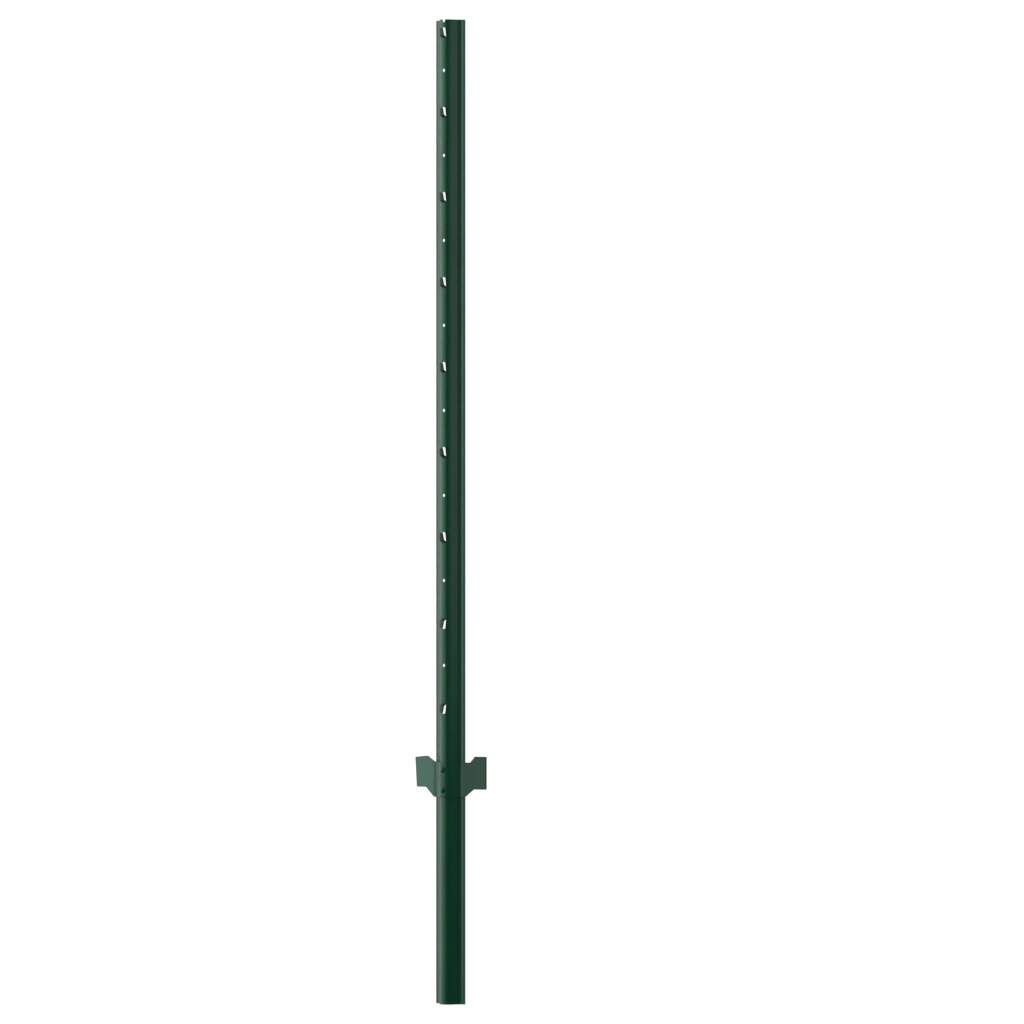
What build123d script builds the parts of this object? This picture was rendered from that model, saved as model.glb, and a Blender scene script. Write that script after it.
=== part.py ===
from build123d import *

import os
from math import acos, atan2, hypot, pi, radians, sin, sqrt, tan

# A steel U-channel fence post with a riveted anchor plate, lying on the edges of its lips.
# X runs across the post, +Y along it to its top end, and Z up from the floor to the crown.
# The origin is at the middle of its length, on the floor.

# Channel
post_length = 1219.2
sheet = 1.5
crown_radius = 10.0  # outside of the rounded web
flange_depth = 14.4  # from the crown to the front of the flanges
lip_depth = 4.2  # from the front of the flanges to the edges of the lips
post_width = 40.8
flange_width = 5.6  # from the corner where a leg would meet it sharply
flange_flat = 0.2  # left flat between its two bends
lip_radius = 1.6  # outside of the bend between flange and lip

# Round wire holes, spaced down from the top end
hole_diameter = 4.2
hole_spacing = 105.2
hole_count = 8
first_hole = 63.1
end_hole = 1.5  # centre of the hole that the top end cuts through

# Wire hooks, each lanced out of the crown and bent forward from one end of its window
end_hook = 17.2  # the hook nearest the top end, off the spacing of the others
first_hook = 115.7
up_hook_count = 6  # on the spacing, besides the end hook
down_hook_count = 2
window_root = 6.2  # from the hook's place back to its root
window_reach = 7.4  # from the hook's place to the window's free end
window_width = 7.0  # at the root
window_end_width = 4.8
window_corner = 2.2
hook_clearance = 0.5  # on each side of the hook, in its window
hook_bend = 75.0  # degrees that the root turns out of the crown
hook_lean = 9.0  # degrees that the finger still leans forward
hook_root_radius = 1.8
hook_ramp = 2.1
hook_top_radius = 1.8
hook_reach = 6.4  # from the hook's place to its tip
hook_tip_clip = 1.3  # cut off each corner of its tip

# Anchor plate, wrapped over the crown and legs
plate_sheet = 2.0
plate_from_top = 941.3  # from the top end to the middle of the collar
collar_height = 43.4
plate_width = 102.8
wing_rise = 29.2  # from the middle of the collar to the wings' top edges
wing_fall = 11.4  # from the middle of the collar to the wings' bottom edges
wing_sweep = 7.4  # degrees that the wings lean back from the flanges
root_gap = 0.2  # by which the plate's bend is larger than the post's under it
wing_bend_radius = 3.0
corner_radius = 0.8
notch_start = 30.4  # where the collar's top edge turns up to the right wing
notch_end = 36.3
gusset_start = 22.0  # where the collar's bottom edge turns up to a wing
gusset_end = 34.4
left_notch_start = 20.0
left_notch_end = 32.6
left_end_drop = 2.0  # of the left wing's outer top corner
left_end_lean = 2.3  # of the left wing's outer bottom corner, towards the post
left_wing_fall = 9.8

# Rivets
rivet_spacing = 24.7
shank_diameter = 4.8
rivet_clearance = 0.05
head_diameter = 7.2
head_height = 2.4  # of the dome's top above the plate's crown
head_edge = 0.3  # straight rim under the dome
tail_diameter = 7.0
tail_height = 1.8

# Sizes that follow
post_height = flange_depth + lip_depth
crown_axis = post_height - crown_radius
root_half = post_width / 2 - flange_width
root_drop = flange_depth - crown_radius
splay = acos(crown_radius / hypot(root_half, root_drop)) - atan2(root_drop, root_half)
apex = crown_axis + crown_radius / sin(splay)
root_radius = (flange_width - lip_radius - flange_flat) / tan((pi / 2 - splay) / 2)
top_end = post_length / 2
plate_middle = top_end - plate_from_top
wing_end = lip_depth - (plate_width - post_width) / 2 * tan(radians(wing_sweep))
bore_diameter = shank_diameter + 2 * rivet_clearance
hole_places = [top_end - first_hole - n * hole_spacing for n in range(hole_count)]
hook_count = up_hook_count + down_hook_count
hook_places = [top_end - first_hook - n * hole_spacing for n in range(hook_count)]
upper_rivet_place = plate_middle + rivet_spacing / 2
lower_rivet_place = plate_middle - rivet_spacing / 2
rivet_places = [upper_rivet_place, lower_rivet_place]
up_places = [top_end - end_hook] + hook_places[:up_hook_count]
down_places = hook_places[up_hook_count:]


def tongue(root_width, end_width, reach):
    """The outline of a tongue seen from above, from its root out to its free end."""
    Polyline(
        (-root_width / 2, -window_root),
        (-end_width / 2, reach),
        (end_width / 2, reach),
        (root_width / 2, -window_root),
        close=True,
    )


# Each window is shut at its hook's root and rounded at its free end
with BuildSketch() as window:
    with BuildLine():
        tongue(window_width, window_end_width, window_reach)
    make_face()
    fillet(window.vertices().group_by(Axis.Y)[-1], radius=window_corner)

# One hook, rooted at its window's end and reaching towards +Y
with BuildPart() as hook:
    with BuildLine(Plane.YZ):
        root = JernArc(
            (-window_root, post_height - sheet / 2), (1, 0), hook_root_radius, hook_bend
        )
        ramp = Line(root @ 1, root @ 1 + (root % 1) * hook_ramp)
        top = JernArc(ramp @ 1, ramp % 1, hook_top_radius, hook_lean - hook_bend)
        Line(top @ 1, top @ 1 + (top % 1) * 2 * hook_reach)
    with BuildSketch(Plane.XZ.offset(window_root)):
        with Locations((0, crown_axis)):
            Circle(crown_radius)
            Circle(crown_radius - sheet, mode=Mode.SUBTRACT)
        with Locations((0, post_height)):
            Rectangle(window_width, crown_radius, mode=Mode.INTERSECT)
    sweep()
    with BuildSketch():
        with BuildLine():
            tongue(
                window_width - 2 * hook_clearance,
                window_end_width - 2 * hook_clearance,
                hook_reach,
            )
        make_face()
        chamfer(vertices().group_by(Axis.Y)[-1], length=hook_tip_clip)
    extrude(amount=2 * post_height, mode=Mode.INTERSECT)

# The folded strip, drawn along its outer face and thickened inwards
with BuildPart() as channel_post:
    with BuildSketch(Plane.XZ):
        with BuildLine():
            FilletPolyline(
                (-post_width / 2, 0),
                (-post_width / 2, lip_depth),
                (-root_half, lip_depth),
                (0, apex),
                (root_half, lip_depth),
                (post_width / 2, lip_depth),
                (post_width / 2, 0),
                radius=[lip_radius, root_radius, crown_radius, root_radius, lip_radius],
            )
            offset(amount=sheet, side=Side.RIGHT)
        make_face()
    extrude(amount=post_length / 2, both=True)
    with Locations(*[(0, y, post_height) for y in hole_places + [top_end - end_hole]]):
        Hole(hole_diameter / 2, depth=crown_radius)
    with Locations(*[(0, y, post_height) for y in rivet_places]):
        Hole(bore_diameter / 2, depth=crown_radius)
    with BuildSketch(Plane.XY.offset(post_height)):
        with Locations(*[(0, y) for y in up_places]):
            add(window.sketch)
        with Locations(*[(0, y) for y in down_places]):
            add(window.sketch.rotate(Axis.Z, 180))
    extrude(amount=-crown_radius, mode=Mode.SUBTRACT)
    with Locations(*[(0, y, 0) for y in up_places]):
        add(hook.part)
    with Locations(*[(0, y, 0) for y in down_places]):
        add(hook.part.rotate(Axis.Z, 180))


def wing_outline(side, start, end, fall, drop, lean):
    """Half of the plate's outline seen from above, from the collar out round one wing."""
    tip = plate_width / 2
    return [
        (side * start, plate_middle + collar_height / 2),
        (side * end, plate_middle + wing_rise),
        (side * tip, plate_middle + wing_rise - drop),
        (side * (tip - lean), plate_middle - fall),
        (side * gusset_end, plate_middle - fall),
        (side * gusset_start, plate_middle - collar_height / 2),
    ]


# The plate follows the outer face of the channel, then trimmed to its outline
right_wing = wing_outline(1, notch_start, notch_end, wing_fall, 0, 0)
left_wing = wing_outline(
    -1, left_notch_start, left_notch_end, left_wing_fall, left_end_drop, left_end_lean
)
root_bend = root_radius + root_gap
with BuildPart() as anchor_plate:
    with BuildSketch(Plane.XZ.offset(-plate_middle)):
        with BuildLine():
            FilletPolyline(
                (-plate_width / 2, wing_end),
                (-post_width / 2, lip_depth),
                (-root_half, lip_depth),
                (0, apex),
                (root_half, lip_depth),
                (post_width / 2, lip_depth),
                (plate_width / 2, wing_end),
                radius=[wing_bend_radius, root_bend, crown_radius, root_bend, wing_bend_radius],
            )
            offset(amount=plate_sheet, side=Side.LEFT)
        make_face()
    extrude(amount=collar_height, both=True)
    with BuildSketch(Plane.XY):
        with BuildLine():
            Polyline(*right_wing, *reversed(left_wing), close=True)
        make_face()
        fillet(vertices(), radius=corner_radius)
    extrude(amount=2 * post_height, mode=Mode.INTERSECT)
    with Locations(*[(0, y, 2 * post_height) for y in rivet_places]):
        Hole(bore_diameter / 2, depth=2 * post_height)

# A rivet, drawn over the origin, with a domed head and a flattened tail inside the channel
head_seat = post_height + plate_sheet
head_rim = crown_axis + sqrt((crown_radius + plate_sheet) ** 2 - (head_diameter / 2) ** 2)
tail_seat = post_height - sheet
with BuildPart() as rivet:
    with BuildSketch(Plane.XZ):
        with BuildLine():
            Polyline(
                (0, head_seat + head_height),
                (0, crown_axis),
                (head_diameter / 2, crown_axis),
                (head_diameter / 2, head_rim + head_edge),
            )
            TangentArc(
                (0, head_seat + head_height),
                (head_diameter / 2, head_rim + head_edge),
                tangent=(1, 0),
            )
        make_face()
    revolve(axis=Axis.Z)
    with Locations((0, 0, crown_axis)):
        Cylinder(
            crown_radius + plate_sheet,
            2 * head_diameter,
            rotation=(90, 0, 0),
            mode=Mode.SUBTRACT,
        )
    with BuildSketch(Plane.XY.offset(tail_seat - tail_height)):
        Circle(shank_diameter / 2)
    extrude(amount=tail_height + sheet + plate_sheet + head_height / 2)
    with BuildPart(mode=Mode.PRIVATE) as tail:
        with BuildSketch(Plane.XY.offset(tail_seat - tail_height)):
            Circle(tail_diameter / 2)
        extrude(amount=tail_height)
        with Locations((0, 0, crown_axis)):
            Cylinder(
                crown_radius - sheet,
                2 * head_diameter,
                rotation=(90, 0, 0),
                mode=Mode.INTERSECT,
            )
    add(tail.part)

with BuildPart() as upper_rivet:
    with Locations((0, upper_rivet_place, 0)):
        add(rivet.part)

with BuildPart() as lower_rivet:
    with Locations((0, lower_rivet_place, 0)):
        add(rivet.part)

os.makedirs("parts", exist_ok=True)
channel_post.part.label = "channel_post"
export_step(channel_post.part, "parts/channel_post.step")
anchor_plate.part.label = "anchor_plate"
export_step(anchor_plate.part, "parts/anchor_plate.step")
upper_rivet.part.label = "upper_rivet"
export_step(upper_rivet.part, "parts/upper_rivet.step")
lower_rivet.part.label = "lower_rivet"
export_step(lower_rivet.part, "parts/lower_rivet.step")
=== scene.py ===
import math
from collections import namedtuple

import bpy
from bpy.props import FloatProperty, FloatVectorProperty, IntProperty, PointerProperty
from bpy.types import NodeSocket, Operator, Panel, PropertyGroup
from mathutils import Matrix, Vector


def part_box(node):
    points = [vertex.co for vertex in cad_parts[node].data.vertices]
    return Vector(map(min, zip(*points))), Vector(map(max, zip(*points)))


bl_info = {
    "name": "U-channel fence post",
    "version": (1, 0, 0),
    "blender": (4, 5, 0),
    "location": "3D View > Sidebar > Fence post",
    "description": "Paints a U-channel fence post with its anchor plate and rivets, and lights it",
    "category": "Object",
}

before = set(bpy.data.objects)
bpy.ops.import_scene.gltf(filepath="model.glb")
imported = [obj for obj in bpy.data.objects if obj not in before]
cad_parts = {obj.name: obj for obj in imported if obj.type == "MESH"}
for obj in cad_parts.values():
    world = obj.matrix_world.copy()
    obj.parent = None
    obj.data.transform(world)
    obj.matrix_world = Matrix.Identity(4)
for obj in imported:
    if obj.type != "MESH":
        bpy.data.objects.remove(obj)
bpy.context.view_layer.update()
post_low, post_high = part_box("channel_post")
plate_low, plate_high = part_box("anchor_plate")
upper_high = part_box("upper_rivet")[1]
lower_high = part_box("lower_rivet")[1]
CROWN_HEIGHT = 0.0186  # of the post alone, in metres


# Sizes and colours that a user would change


class PaintSettings(PropertyGroup):
    """The green paint that the whole post was dipped in"""

    colour: FloatVectorProperty(
        name="Paint",
        description="Colour of the green paint",
        subtype="COLOR",
        size=3,
        min=0,
        max=1,
        default=(0.002, 0.130, 0.056),
    )
    # Painted shade in part: this dark colour marks thin paint at cut edges and also stands in for
    # shade on edges and hooks turned away from the lights.
    thin_paint_and_shade_colour: FloatVectorProperty(
        name="Thin paint and shade",
        description="Colour where the paint has drawn back from a cut edge and steel darkens it",
        subtype="COLOR",
        size=3,
        min=0,
        max=1,
        default=(0.006, 0.038, 0.022),
    )
    # Painted highlight: a lighter green put where the lights fall more strongly, on the right
    # flange and the plate's left wing.
    highlight_colour: FloatVectorProperty(
        name="Painted highlight",
        description="Colour where the paint is dulled by other things rubbing on it",
        subtype="COLOR",
        size=3,
        min=0,
        max=1,
        default=(0.085, 0.280, 0.195),
    )
    roughness: FloatProperty(
        name="Roughness",
        description="Roughness of the satin paint",
        subtype="FACTOR",
        min=0,
        max=1,
        default=0.25,
    )
    mottle: FloatProperty(
        name="Mottling",
        description="How much the paint's tone changes along the post",
        subtype="FACTOR",
        min=0,
        max=1,
        default=0.35,
    )
    # Sets the dark band's reach, which is thin paint in part and painted shade in part.
    wear: FloatProperty(
        name="Edge wear and shade",
        description="How much of the paint is rubbed thin along cut and bent edges",
        subtype="FACTOR",
        min=0,
        max=1,
        default=0.55,
    )
    peel_size: FloatProperty(
        name="Orange peel",
        description="Size of the small waves in the paint",
        subtype="DISTANCE",
        unit="LENGTH",
        min=0.0001,
        max=0.01,
        default=0.0016,
    )
    peel_height: FloatProperty(
        name="Orange peel height",
        description="Height of the small waves in the paint",
        subtype="DISTANCE",
        unit="LENGTH",
        min=0,
        max=0.001,
        default=0.00003,
    )


class EdgeSettings(PropertyGroup):
    """Where the holes, windows and cut edges lie, for the wear and painted shade along them, and
    where the painted highlight on the flange starts
    """

    spacing: FloatProperty(
        name="Spacing",
        description="Distance between neighbouring wire holes, and between hooks",
        subtype="DISTANCE",
        unit="LENGTH",
        default=0.1052,
    )
    first_hole: FloatProperty(
        name="First hole",
        description="Place of the wire hole nearest the top end, along the post",
        subtype="DISTANCE",
        unit="LENGTH",
        default=post_high.y - 0.0631,
    )
    first_window: FloatProperty(
        name="First window",
        description="Middle of the first hook's window on the spacing, along the post",
        subtype="DISTANCE",
        unit="LENGTH",
        default=post_high.y - 0.1151,
    )
    hole_radius: FloatProperty(
        name="Hole radius",
        description="Radius of the wire holes",
        subtype="DISTANCE",
        unit="LENGTH",
        default=0.0021,
    )
    window_width: FloatProperty(
        name="Window width",
        description="Half of a hook window's width, without its rounding",
        subtype="DISTANCE",
        unit="LENGTH",
        default=0.0009,
    )
    window_length: FloatProperty(
        name="Window length",
        description="Half of a hook window's length, without its rounding",
        subtype="DISTANCE",
        unit="LENGTH",
        default=0.0046,
    )
    window_round: FloatProperty(
        name="Window rounding",
        description="Rounding of a hook window's corners",
        subtype="DISTANCE",
        unit="LENGTH",
        default=0.0022,
    )
    last: IntProperty(
        name="Last of the run",
        description="Number of the last hole or window, counted from 0",
        min=0,
        default=7,
    )
    # Start of the painted highlight on the right flange.
    flange_start: FloatProperty(
        name="Highlight from",
        description="Distance from the post's middle line to where its right flange is scuffed",
        subtype="DISTANCE",
        unit="LENGTH",
        default=0.0172,
    )
    crown: FloatProperty(
        name="Crown",
        description="Height of the post's crown, above which only its hooks stand",
        subtype="DISTANCE",
        unit="LENGTH",
        default=CROWN_HEIGHT,
    )
    plate_middle: FloatProperty(
        name="Plate's middle",
        description="Middle of the anchor plate's collar, along the post",
        subtype="DISTANCE",
        unit="LENGTH",
        default=post_high.y - 0.9413,
    )
    wing_fall: FloatProperty(
        name="Wing's fall",
        description="Distance from the collar's middle to the right wing's bottom edge",
        subtype="DISTANCE",
        unit="LENGTH",
        default=0.0114,
    )
    gusset: FloatProperty(
        name="Gusset",
        description="Distance of the right wing's slanted edge from the collar's middle",
        subtype="DISTANCE",
        unit="LENGTH",
        default=0.03075,
    )
    gusset_turn: FloatProperty(
        name="Gusset's turn",
        description="Angle between the way the slanted edge faces and the way the wing points",
        subtype="ANGLE",
        unit="ROTATION",
        default=math.radians(50.3),
    )
    # Both rims are widths of the dark band, which is thin paint in part and painted shade in part.
    wide_rim: FloatProperty(
        name="Wide rim",
        description="Width of the band of thin paint at the post's ends and the plate's edges",
        subtype="DISTANCE",
        unit="LENGTH",
        default=0.0013,
    )
    rim: FloatProperty(
        name="Rim",
        description="Width of the band of thin paint beside the other cut edges",
        subtype="DISTANCE",
        unit="LENGTH",
        default=0.0007,
    )


class StudioSettings(PropertyGroup):
    """The camera, the floor and the lights"""

    turn: FloatProperty(
        name="Camera turn",
        description="Angle of the camera from straight above, towards the post's right side",
        subtype="ANGLE",
        unit="ROTATION",
        default=math.radians(31.2),
    )
    distance: FloatProperty(
        name="Camera distance",
        description="Distance of the camera from the crown",
        subtype="DISTANCE",
        unit="LENGTH",
        default=7.5,
    )
    picture_width: FloatProperty(
        name="Picture width",
        description="Width of what the camera sees at the crown",
        subtype="DISTANCE",
        unit="LENGTH",
        default=1.2671,
    )
    crown_height: FloatProperty(
        name="Crown height",
        description="Height above the floor of the crown, from which the camera's place is set",
        subtype="DISTANCE",
        unit="LENGTH",
        default=CROWN_HEIGHT,
    )
    aside: FloatProperty(
        name="Aside",
        description="How far the picture's middle lies to the right of the crown",
        subtype="DISTANCE",
        unit="LENGTH",
        default=0.0848,
    )
    floor_glow: FloatProperty(
        name="Floor brightness",
        description="Brightness of the lit floor, as the camera sees it",
        min=0,
        default=0.93,
    )
    left_glow: FloatProperty(
        name="Floor on the left",
        description="Brightness that the floor on the post's left adds to the paint",
        min=0,
        default=0.5,
    )
    right_glow: FloatProperty(
        name="Floor on the right",
        description="Brightness that the floor on the post's right adds to the paint",
        min=0,
        default=0.12,
    )
    left_brightness: FloatProperty(
        name="Left lights",
        description="Brightness of the soft lights from low on the left up to the top",
        min=0,
        default=1.0,
    )
    right_brightness: FloatProperty(
        name="Right lights",
        description="Brightness of the two weaker lights on the right, along the top half",
        min=0,
        default=1.0,
    )


# Patterns in the paint and in its wear. A scale is in waves to the metre.
PATCHES = {"Scale": 55.0, "Detail": 4.0, "Roughness": 0.55}
STREAKS = {"Scale": 420.0, "Detail": 3.0, "Roughness": 0.6}
SMALL_WAVES = {"Detail": 1.5, "Roughness": 0.45}  # their scale follows from the orange peel
BROAD_WEAR = {"Scale": 190.0, "Detail": 3.0, "Roughness": 0.6}
FINE_WEAR = {"Scale": 1400.0, "Detail": 2.0, "Roughness": 0.6}
DRAWN_OUT = (1.0, 0.22, 1.0)  # patches and streaks are longer along the post

# What the patterns do to the paint
PATCH_SHARE = 0.7  # of the paint's tone, and the streaks have the rest
MIDDLE_TONE = 0.5
TONE_SWING = 2.6
SMOOTHER_WHERE_LIGHT = 0.35
NIB_SCALE = 150.0
NIB_EDGE = (0.09, 0.03)  # from its foot to its top, as shares of the distance between nibs
NIB_COLOUR = (0.06, 0.12, 0.09, 1.0)
NIB_TINT = 0.25
NIB_ROUGHNESS = 0.12
NIB_HEIGHT = 0.9

# How wear and painted shade break up along an edge, and what they do to the paint
BROAD_WEAR_SHARE = 0.65
LEAST_GRAIN = 0.35
REACH_UNWORN = 0.9
REACH_OF_WEAR = 0.7
WEAR_SOFTNESS = 0.18
THIN_SHARE = 0.8
THIN_ROUGHNESS = 0.12
THIN_DEPTH = 1.5
BUMP_STRENGTH = 0.6

# Places in metres between which a kind of wear, painted shade or painted highlight comes in, and
# its strength
CROWN_CUTS = (0.0145, 0.0165)
HOOKS_ABOVE_CROWN = (0.0002, 0.0016)
HOOK_SHADE = 0.82
FLANGE_FADE = 0.0012
ABOVE_LIP = (0.0012, 0.0028)
RIGHT_WING_SHADED = (0.033, 0.035)
LEFT_WING_LIT = (-0.019, -0.025)
LEFT_WING_LIGHTENING = 0.7
GUSSET_FADE = 0.001

# The stage
FLOOR_SIZE = 30.0
FLOOR_TONE = (0.55, 0.55, 0.55, 1.0)
FLOOR_TURNOVER = 0.05  # the floor's glow changes this far to each side of the post's middle
SURROUNDINGS_GLOW = 0.05
WHITE = (1.0, 1.0, 1.0, 1.0)
CAMERA_RANGE = (0.1, 60.0)
LIGHT_DISTANCE = 2.6

# Each light's lean from straight above and its width, both in degrees, its brightness, and
# where it starts and ends along the post, in metres
SoftLight = namedtuple("SoftLight", "lean spread brightness start end")
LEFT_LIGHTS = {
    "low left light": SoftLight(-77.0, 26.0, 1.80, -0.95, 1.9),
    "left light": SoftLight(-53.0, 22.0, 1.10, -0.95, 1.9),
    "upper left light": SoftLight(-34.0, 16.0, 1.20, -0.95, 1.9),
    "left light on the top half": SoftLight(-58.0, 64.0, 0.42, -0.30, 1.9),
    "left top light": SoftLight(-20.0, 12.0, 1.10, -0.78, 1.9),
    "top light": SoftLight(-8.0, 12.0, 0.75, -0.72, 1.9),
    "faint top light": SoftLight(4.0, 12.0, 0.30, -1.2, 1.9),
}
RIGHT_LIGHTS = {
    "upper right light": SoftLight(55.0, 28.0, 0.22, -0.25, 1.6),
    "low right light": SoftLight(79.0, 18.0, 0.80, -0.25, 1.6),
}


# Helpers for shader nodes

MIX_FIRST, MIX_SECOND, MIX_RESULT = 6, 7, 2  # a Mix node's sockets that carry colours
FLOAT, VECTOR, COLOUR = "NodeSocketFloat", "NodeSocketVector", "NodeSocketColor"


def add_node(tree, kind, settings, inputs):
    """Adds a shader node, and links or sets each of the inputs given."""
    node = tree.nodes.new(kind)
    for name, value in settings.items():
        setattr(node, name, value)
    for key, value in inputs.items():
        if isinstance(value, NodeSocket):
            tree.links.new(value, node.inputs[key])
        else:
            node.inputs[key].default_value = value
    return node


def calc(tree, operation, *terms):
    """One Math node. Gives its output."""
    settings = {"operation": operation}
    return add_node(tree, "ShaderNodeMath", settings, dict(enumerate(terms))).outputs[0]


def greatest(tree, first, *others):
    """The greatest of several values."""
    for value in others:
        first = calc(tree, "MAXIMUM", first, value)
    return first


def weigh(tree, first, second, share):
    """Two values added up, the first counted by share and the second by the rest."""
    return calc(
        tree,
        "ADD",
        calc(tree, "MULTIPLY", first, share),
        calc(tree, "MULTIPLY", second, 1.0 - share),
    )


def ramp(tree, value, start, end, low=0.0, high=1.0):
    """A soft step of value from low at start to high at end."""
    settings = {"interpolation_type": "SMOOTHSTEP"}
    inputs = {"Value": value, "From Min": start, "From Max": end, "To Min": low, "To Max": high}
    return add_node(tree, "ShaderNodeMapRange", settings, inputs).outputs["Result"]


def noise(tree, place, pattern):
    """Soft noise of a pattern. Gives its value."""
    return add_node(tree, "ShaderNodeTexNoise", {}, {"Vector": place, **pattern}).outputs["Fac"]


def coordinate(tree, position, axis):
    """One coordinate of the position."""
    return add_node(tree, "ShaderNodeSeparateXYZ", {}, {0: position}).outputs[axis]


def blend_colours(tree, share, first, second):
    """Mixes two colours by share."""
    inputs = {"Factor": share, MIX_FIRST: first, MIX_SECOND: second}
    return add_node(tree, "ShaderNodeMix", {"data_type": "RGBA"}, inputs).outputs[MIX_RESULT]


def scale_colour(tree, colour, factor):
    """A colour made lighter or darker by factor."""
    settings = {"operation": "SCALE"}
    inputs = {0: colour, "Scale": factor}
    return add_node(tree, "ShaderNodeVectorMath", settings, inputs).outputs["Vector"]


def opaque(colour):
    """A colour with its alpha."""
    return (*colour, 1.0)


def start_group(name, inputs, outputs):
    """A new shader node group. Gives its tree, what comes in and what goes out."""
    tree = bpy.data.node_groups.new(name, "ShaderNodeTree")
    for label, kind, value in inputs:
        socket = tree.interface.new_socket(label, in_out="INPUT", socket_type=kind)
        if value is not None:
            socket.default_value = value
    for label, kind in outputs:
        tree.interface.new_socket(label, in_out="OUTPUT", socket_type=kind)
    come_in = tree.nodes.new("NodeGroupInput").outputs
    go_out = tree.nodes.new("NodeGroupOutput").inputs
    return tree, come_in, go_out


def place_group(tree, name, inputs):
    """Places a finished node group in a material. Gives its outputs."""
    group = bpy.data.node_groups[name]
    return add_node(tree, "ShaderNodeGroup", {"node_tree": group}, inputs).outputs


# Effects that several materials share


def build_dipped_paint():
    """Dipped paint: soft patches drawn out along the post, small waves and a few dust nibs."""
    tree, come_in, go_out = start_group(
        "Dipped paint",
        [
            ("Position", VECTOR, None),
            ("Paint", COLOUR, None),
            ("Roughness", FLOAT, 0.4),
            ("Mottling", FLOAT, 0.3),
            ("Peel size", FLOAT, 0.0016),
        ],
        [("Colour", COLOUR), ("Roughness", FLOAT), ("Height", FLOAT)],
    )
    position = come_in["Position"]
    drawn = add_node(
        tree, "ShaderNodeMapping", {}, {"Vector": position, "Scale": DRAWN_OUT}
    ).outputs[0]
    patches = noise(tree, drawn, PATCHES)
    streaks = noise(tree, drawn, STREAKS)
    fine_scale = calc(tree, "DIVIDE", 1.0, come_in["Peel size"])
    waves = noise(tree, position, {"Scale": fine_scale, **SMALL_WAVES})
    dust = add_node(
        tree, "ShaderNodeTexVoronoi", {"feature": "F1"}, {"Vector": position, "Scale": NIB_SCALE}
    ).outputs["Distance"]
    nibs = ramp(tree, dust, *NIB_EDGE)
    tone = weigh(tree, patches, streaks, PATCH_SHARE)
    change = calc(tree, "SUBTRACT", tone, MIDDLE_TONE)
    swing = calc(tree, "MULTIPLY", change, come_in["Mottling"])
    lightness = calc(tree, "ADD", calc(tree, "MULTIPLY", swing, TONE_SWING), 1.0)
    toned = scale_colour(tree, come_in["Paint"], lightness)
    dusty = blend_colours(tree, calc(tree, "MULTIPLY", nibs, NIB_TINT), toned, NIB_COLOUR)
    tree.links.new(dusty, go_out["Colour"])
    smoother = calc(tree, "MULTIPLY", swing, SMOOTHER_WHERE_LIGHT)
    rough = calc(tree, "SUBTRACT", come_in["Roughness"], smoother)
    rough = calc(tree, "ADD", rough, calc(tree, "MULTIPLY", nibs, NIB_ROUGHNESS))
    tree.links.new(rough, go_out["Roughness"])
    height = calc(tree, "ADD", waves, calc(tree, "MULTIPLY", nibs, NIB_HEIGHT))
    tree.links.new(height, go_out["Height"])


def build_run_of_cuts():
    """A band beside each of a run of evenly spaced holes or windows along the post."""
    tree, come_in, go_out = start_group(
        "Run of cuts",
        [
            ("Position", VECTOR, None),
            ("First", FLOAT, 0.0),
            ("Spacing", FLOAT, 0.1),
            ("Last", FLOAT, 7.0),
            ("Half width", FLOAT, 0.002),
            ("Half length", FLOAT, 0.002),
            ("Round", FLOAT, 0.0),
            ("Band", FLOAT, 0.0007),
        ],
        [("Mask", FLOAT)],
    )
    place = add_node(tree, "ShaderNodeSeparateXYZ", {}, {0: come_in["Position"]}).outputs
    along = calc(tree, "SUBTRACT", come_in["First"], place["Y"])
    number = calc(tree, "ROUND", calc(tree, "DIVIDE", along, come_in["Spacing"]))
    number = calc(tree, "MAXIMUM", calc(tree, "MINIMUM", number, come_in["Last"]), 0.0)
    off = calc(tree, "SUBTRACT", along, calc(tree, "MULTIPLY", number, come_in["Spacing"]))
    beside = calc(tree, "SUBTRACT", calc(tree, "ABSOLUTE", place["X"]), come_in["Half width"])
    past = calc(tree, "SUBTRACT", calc(tree, "ABSOLUTE", off), come_in["Half length"])
    corner = add_node(
        tree,
        "ShaderNodeCombineXYZ",
        {},
        {0: calc(tree, "MAXIMUM", beside, 0.0), 1: calc(tree, "MAXIMUM", past, 0.0)},
    ).outputs[0]
    beyond = add_node(
        tree, "ShaderNodeVectorMath", {"operation": "LENGTH"}, {0: corner}
    ).outputs["Value"]
    inside = calc(tree, "MAXIMUM", beside, past)
    shell = calc(tree, "MAXIMUM", beyond, calc(tree, "MULTIPLY", inside, -1.0))
    gap = calc(tree, "ABSOLUTE", calc(tree, "SUBTRACT", shell, come_in["Round"]))
    tree.links.new(ramp(tree, gap, come_in["Band"], 0.0), go_out["Mask"])


def build_rubbed_and_shaded_edge():
    """Breaks a plain band beside an edge up into uneven patches, for wear and for painted shade
    alike.
    """
    tree, come_in, go_out = start_group(
        "Rubbed and shaded edge",
        [("Position", VECTOR, None), ("Band", FLOAT, 0.0), ("Wear", FLOAT, 0.5)],
        [("Mask", FLOAT)],
    )
    broad = noise(tree, come_in["Position"], BROAD_WEAR)
    fine = noise(tree, come_in["Position"], FINE_WEAR)
    grain = weigh(tree, broad, fine, BROAD_WEAR_SHARE)
    lowered = calc(tree, "MULTIPLY", come_in["Wear"], REACH_OF_WEAR)
    reach = calc(tree, "SUBTRACT", REACH_UNWORN, lowered)
    pushed = calc(tree, "MULTIPLY", come_in["Band"], calc(tree, "ADD", grain, LEAST_GRAIN))
    worn_and_shaded = ramp(tree, pushed, reach, calc(tree, "ADD", reach, WEAR_SOFTNESS))
    tree.links.new(worn_and_shaded, go_out["Mask"])


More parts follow.
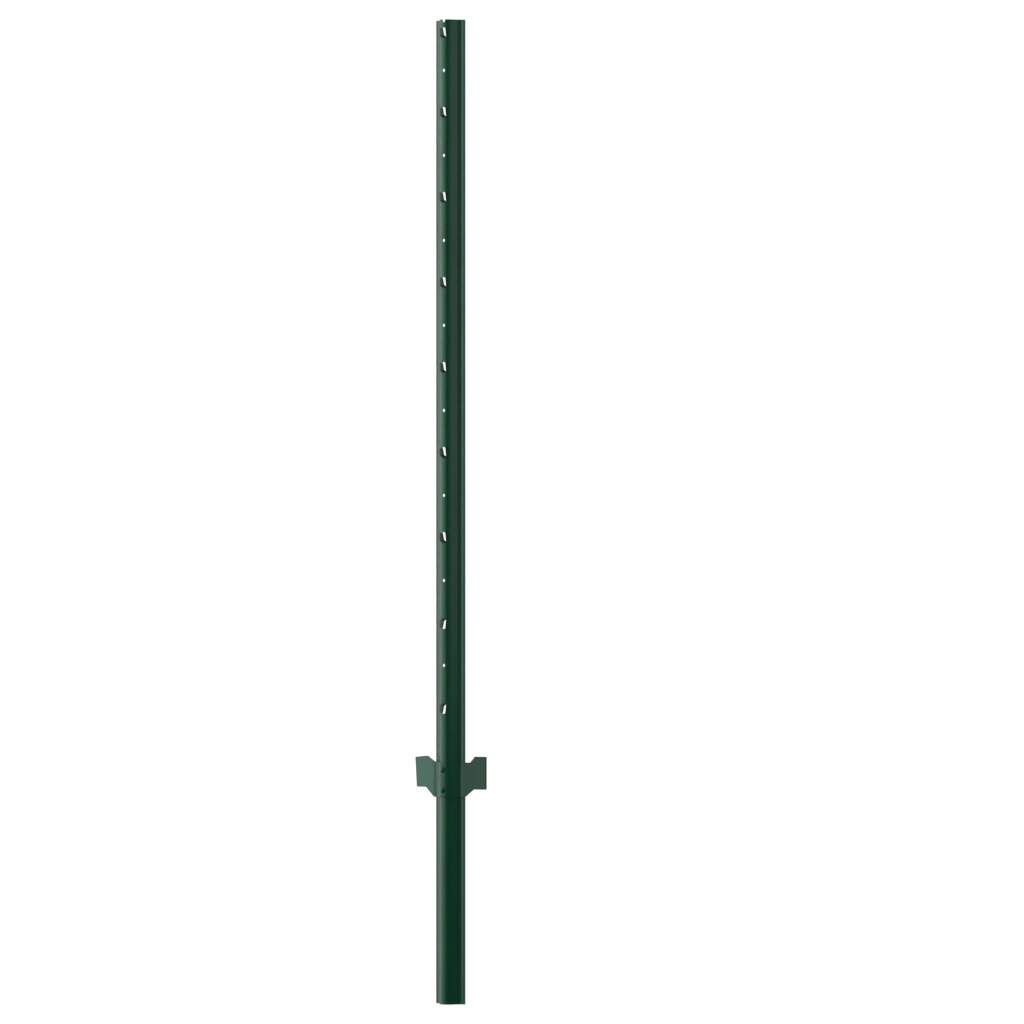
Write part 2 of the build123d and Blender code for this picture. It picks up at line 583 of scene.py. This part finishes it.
def build_near_line():
    """A band on both sides of a line across one coordinate, such as a sheet's cut end."""
    tree, come_in, go_out = start_group(
        "Near a line",
        [("Value", FLOAT, 0.0), ("Line", FLOAT, 0.0), ("Band", FLOAT, 0.001)],
        [("Mask", FLOAT)],
    )
    gap = calc(tree, "ABSOLUTE", calc(tree, "SUBTRACT", come_in["Value"], come_in["Line"]))
    tree.links.new(ramp(tree, gap, come_in["Band"], 0.0), go_out["Mask"])


def build_effects():
    """Builds the shared node groups once."""
    if "Dipped paint" not in bpy.data.node_groups:
        build_dipped_paint()
        build_run_of_cuts()
        build_rubbed_and_shaded_edge()
        build_near_line()


def line_band(tree, value, line, band):
    """The shared band beside a line, placed in a material."""
    return place_group(tree, "Near a line", {"Value": value, "Line": line, "Band": band})["Mask"]


def painted_material(name, paint, thin_paint_and_shade_band, highlight_band=None):
    """A material of dipped green paint.

    The first band function builds the dark band beside the piece's cut edges, which is thin paint
    in part and painted shade in part, and the second one builds the places that are made lighter
    as a painted highlight.
    """
    build_effects()
    material = bpy.data.materials.new(name)
    material.use_nodes = True
    tree = material.node_tree
    shader = tree.nodes["Principled BSDF"]
    position = tree.nodes.new("ShaderNodeTexCoord").outputs["Object"]
    coat = place_group(
        tree,
        "Dipped paint",
        {
            "Position": position,
            "Paint": opaque(paint.colour),
            "Roughness": paint.roughness,
            "Mottling": paint.mottle,
            "Peel size": paint.peel_size,
        },
    )
    worn_and_shaded = place_group(
        tree,
        "Rubbed and shaded edge",
        {"Position": position, "Band": thin_paint_and_shade_band(tree, position), "Wear": paint.wear},
    )["Mask"]
    colour = coat["Colour"]
    # Painted highlight: the second band makes the paint lighter where the lights fall more
    # strongly.
    if highlight_band:
        lightened = highlight_band(tree, position)
        colour = blend_colours(tree, lightened, colour, opaque(paint.highlight_colour))
    # The dark colour goes on here: thin paint along cut edges in part, painted shade in part.
    thinned = calc(tree, "MULTIPLY", worn_and_shaded, THIN_SHARE)
    colour = blend_colours(tree, thinned, colour, opaque(paint.thin_paint_and_shade_colour))
    rough = calc(tree, "ADD", coat["Roughness"], calc(tree, "MULTIPLY", worn_and_shaded, THIN_ROUGHNESS))
    height = calc(tree, "SUBTRACT", coat["Height"], calc(tree, "MULTIPLY", worn_and_shaded, THIN_DEPTH))
    bump = add_node(
        tree,
        "ShaderNodeBump",
        {},
        {"Strength": BUMP_STRENGTH, "Distance": paint.peel_height, "Height": height},
    )
    tree.links.new(colour, shader.inputs["Base Color"])
    tree.links.new(rough, shader.inputs["Roughness"])
    tree.links.new(bump.outputs["Normal"], shader.inputs["Normal"])
    shader.inputs["Metallic"].default_value = 0.0
    shader.inputs["Specular IOR Level"].default_value = 0.5
    return material


def dress(name, material):
    """Puts a material on a CAD node."""
    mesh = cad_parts[name].data
    mesh.materials.clear()
    mesh.materials.append(material)
    for polygon in mesh.polygons:
        polygon.material_index = 0


# One operator for each piece or group of like pieces


class POST_OT_paint_channel(Operator):
    """Paint the folded channel post"""

    bl_idname = "post.paint_channel"
    bl_label = "Paint the channel post"

    def execute(self, context):
        edges = context.scene.post_edges

        def run_of_cuts(tree, position, first, rounding, half_width=0.0, half_length=0.0):
            """The shared band beside a run of cuts. A round hole is all rounding."""
            return place_group(
                tree,
                "Run of cuts",
                {
                    "Position": position,
                    "First": first,
                    "Spacing": edges.spacing,
                    "Last": float(edges.last),
                    "Half width": half_width,
                    "Half length": half_length,
                    "Round": rounding,
                    "Band": edges.rim,
                },
            )["Mask"]

        # The dark band: thin paint along the holes, windows, ends and lips, in part painted shade
        # there, and painted shade on the hooks.
        def thin_paint_and_shade_band(tree, position):
            holes = run_of_cuts(tree, position, edges.first_hole, edges.hole_radius)
            windows = run_of_cuts(
                tree,
                position,
                edges.first_window,
                edges.window_round,
                edges.window_width,
                edges.window_length,
            )
            height = coordinate(tree, position, "Z")
            crown = ramp(tree, height, *CROWN_CUTS)
            cuts = calc(tree, "MULTIPLY", greatest(tree, holes, windows), crown)
            # Painted shade: the hooks standing above the crown are darkened.
            start, end = HOOKS_ABOVE_CROWN
            hooks = ramp(tree, height, edges.crown + start, edges.crown + end, 0.0, HOOK_SHADE)
            along = calc(tree, "ABSOLUTE", coordinate(tree, position, "Y"))
            ends = line_band(tree, along, post_high.y, edges.wide_rim)
            lips = line_band(tree, height, post_low.z, edges.rim)
            return greatest(tree, cuts, hooks, ends, lips)

        # Painted highlight: the right flange's outer part, above the lip, is made lighter.
        def highlight_band(tree, position):
            across = coordinate(tree, position, "X")
            outer = ramp(tree, across, edges.flange_start, edges.flange_start + FLANGE_FADE)
            above = ramp(tree, coordinate(tree, position, "Z"), *ABOVE_LIP)
            return calc(tree, "MULTIPLY", outer, above)

        paint = context.scene.post_paint
        material = painted_material("Green paint on the channel", paint, thin_paint_and_shade_band, highlight_band)
        dress("channel_post", material)
        return {"FINISHED"}


class POST_OT_paint_anchor_plate(Operator):
    """Paint the anchor plate"""

    bl_idname = "post.paint_anchor_plate"
    bl_label = "Paint the anchor plate"

    def execute(self, context):
        edges = context.scene.post_edges

        # The dark band: thin paint along all the plate's cut edges, and painted shade along the
        # right wing's bottom and slanted edges, which face away from the lights.
        def thin_paint_and_shade_band(tree, position):
            across = coordinate(tree, position, "X")
            along = calc(tree, "SUBTRACT", coordinate(tree, position, "Y"), edges.plate_middle)
            rim = edges.wide_rim
            tips = line_band(tree, calc(tree, "ABSOLUTE", across), plate_high.x, rim)
            top = line_band(tree, along, plate_high.y - edges.plate_middle, edges.rim)
            bottom = line_band(tree, along, plate_low.y - edges.plate_middle, rim)
            # Painted shade along the right wing's bottom edge only.
            wing = calc(
                tree,
                "MULTIPLY",
                line_band(tree, along, -edges.wing_fall, rim),
                ramp(tree, across, *RIGHT_WING_SHADED),
            )
            # Painted shade along the right wing's slanted edge, which faces away from the lights.
            slant = calc(
                tree,
                "SUBTRACT",
                calc(tree, "MULTIPLY", across, math.cos(edges.gusset_turn)),
                calc(tree, "MULTIPLY", along, math.sin(edges.gusset_turn)),
            )
            gusset = calc(
                tree,
                "MULTIPLY",
                line_band(tree, slant, edges.gusset, rim),
                ramp(tree, along, GUSSET_FADE - edges.wing_fall, -edges.wing_fall),
            )
            return greatest(tree, tips, top, bottom, wing, gusset)

        # Painted highlight: the left wing is made lighter, as the lights fall on it more.
        def highlight_band(tree, position):
            across = coordinate(tree, position, "X")
            return ramp(tree, across, *LEFT_WING_LIT, 0.0, LEFT_WING_LIGHTENING)

        paint = context.scene.post_paint
        material = painted_material("Green paint on the plate", paint, thin_paint_and_shade_band, highlight_band)
        dress("anchor_plate", material)
        return {"FINISHED"}


class POST_OT_paint_rivets(Operator):
    """Paint the two rivets"""

    bl_idname = "post.paint_rivets"
    bl_label = "Paint the rivets"

    def execute(self, context):
        edges = context.scene.post_edges
        paint = context.scene.post_paint
        for name, high in (("upper_rivet", upper_high), ("lower_rivet", lower_high)):

            # Darkens the top of each rivet's head with the dark band colour.
            def thin_paint_and_shade_band(tree, position):
                return line_band(tree, coordinate(tree, position, "Z"), high.z, edges.rim)

            dress(name, painted_material("Green paint on " + name, paint, thin_paint_and_shade_band))
        return {"FINISHED"}


def soft_light(name, strip, scale):
    """A soft light that the camera doesn't see, leaning from straight above, facing the post."""
    light = bpy.data.lights.new(name, "AREA")
    light.shape = "RECTANGLE"
    light.size = 2 * LIGHT_DISTANCE * math.tan(math.radians(strip.spread) / 2)
    light.size_y = strip.end - strip.start
    light.energy = strip.brightness * scale * math.pi * light.size * light.size_y
    lamp = bpy.data.objects.new(name, light)
    angle = math.radians(strip.lean)
    lamp.location = (
        LIGHT_DISTANCE * math.sin(angle),
        (strip.start + strip.end) / 2,
        LIGHT_DISTANCE * math.cos(angle),
    )
    lamp.rotation_euler = (0.0, angle, 0.0)
    lamp.visible_camera = False
    bpy.context.scene.collection.objects.link(lamp)


class POST_OT_set_stage(Operator):
    """Add the floor, the lights and the camera"""

    bl_idname = "post.set_stage"
    bl_label = "Set the stage"

    def execute(self, context):
        scene = context.scene
        studio = scene.post_studio
        self.add_floor(studio)
        self.add_surroundings(scene)
        self.add_lights(studio)
        self.add_camera(scene, studio)
        scene.view_settings.view_transform = "Standard"
        return {"FINISHED"}

    def add_floor(self, studio):
        """A pale floor that glows, so that it is white to the camera and lights the left side."""
        bpy.ops.mesh.primitive_plane_add(size=FLOOR_SIZE, location=(0.0, 0.0, 0.0))
        floor = bpy.context.object
        floor.name = "floor"
        material = bpy.data.materials.new("Pale floor")
        material.use_nodes = True
        tree = material.node_tree
        shader = tree.nodes["Principled BSDF"]
        shader.inputs["Base Color"].default_value = FLOOR_TONE
        shader.inputs["Roughness"].default_value = 0.9
        shader.inputs["Specular IOR Level"].default_value = 0.1
        shader.inputs["Emission Color"].default_value = WHITE
        seen = tree.nodes.new("ShaderNodeLightPath").outputs["Is Camera Ray"]
        across = coordinate(tree, tree.nodes.new("ShaderNodeTexCoord").outputs["Object"], "X")
        side = ramp(
            tree, across, -FLOOR_TURNOVER, FLOOR_TURNOVER, studio.left_glow, studio.right_glow
        )
        glow = ramp(tree, seen, 0.0, 1.0, side, studio.floor_glow)
        tree.links.new(glow, shader.inputs["Emission Strength"])
        floor.data.materials.append(material)

    def add_surroundings(self, scene):
        """White surroundings to the camera, and nearly dark ones to the paint."""
        world = bpy.data.worlds.new("Pale surroundings")
        world.use_nodes = True
        tree = world.node_tree
        seen = tree.nodes.new("ShaderNodeLightPath").outputs["Is Camera Ray"]
        background = tree.nodes["Background"]
        background.inputs["Color"].default_value = WHITE
        strength = ramp(tree, seen, 0.0, 1.0, SURROUNDINGS_GLOW, 1.0)
        tree.links.new(strength, background.inputs["Strength"])
        scene.world = world

    def add_lights(self, studio):
        """Soft lights from low on the left up to the top, and two weaker ones on the right."""
        for lights, scale in (
            (LEFT_LIGHTS, studio.left_brightness),
            (RIGHT_LIGHTS, studio.right_brightness),
        ):
            for name, strip in lights.items():
                soft_light(name, strip, scale)

    def add_camera(self, scene, studio):
        """The camera looks down on the post, turned to its right side."""
        data = bpy.data.cameras.new("camera")
        data.lens = data.sensor_width * studio.distance / studio.picture_width
        data.clip_start, data.clip_end = CAMERA_RANGE
        camera = bpy.data.objects.new("camera", data)
        right = Vector((math.cos(studio.turn), 0.0, -math.sin(studio.turn)))
        back = Vector((math.sin(studio.turn), 0.0, math.cos(studio.turn)))
        crown = Vector((0.0, 0.0, studio.crown_height))
        camera.location = crown + right * studio.aside + back * studio.distance
        camera.rotation_euler = (0.0, studio.turn, 0.0)
        scene.collection.objects.link(camera)
        scene.camera = camera


class POST_PT_panel(Panel):
    """Lists the pieces of the fence post and their settings"""

    bl_idname = "POST_PT_panel"
    bl_label = "Fence post"
    bl_space_type = "VIEW_3D"
    bl_region_type = "UI"
    bl_category = "Fence post"

    def draw(self, context):
        scene = context.scene
        for settings, operators in (
            (scene.post_paint, ("post.paint_channel", "post.paint_anchor_plate")),
            (scene.post_edges, ("post.paint_rivets",)),
            (scene.post_studio, ("post.set_stage",)),
        ):
            box = self.layout.box()
            for name in settings.__annotations__:
                box.prop(settings, name)
            for operator in operators:
                box.operator(operator)


CLASSES = (
    PaintSettings,
    EdgeSettings,
    StudioSettings,
    POST_OT_paint_channel,
    POST_OT_paint_anchor_plate,
    POST_OT_paint_rivets,
    POST_OT_set_stage,
    POST_PT_panel,
)


def register():
    for cls in CLASSES:
        bpy.utils.register_class(cls)
    bpy.types.Scene.post_paint = PointerProperty(type=PaintSettings)
    bpy.types.Scene.post_edges = PointerProperty(type=EdgeSettings)
    bpy.types.Scene.post_studio = PointerProperty(type=StudioSettings)


def unregister():
    del bpy.types.Scene.post_studio
    del bpy.types.Scene.post_edges
    del bpy.types.Scene.post_paint
    for cls in reversed(CLASSES):
        bpy.utils.unregister_class(cls)


def main():
    register()
    bpy.ops.object.select_all(action="DESELECT")
    bpy.ops.post.paint_channel()
    bpy.ops.post.paint_anchor_plate()
    bpy.ops.post.paint_rivets()
    bpy.ops.post.set_stage()


if __name__ == "__main__":
    main()
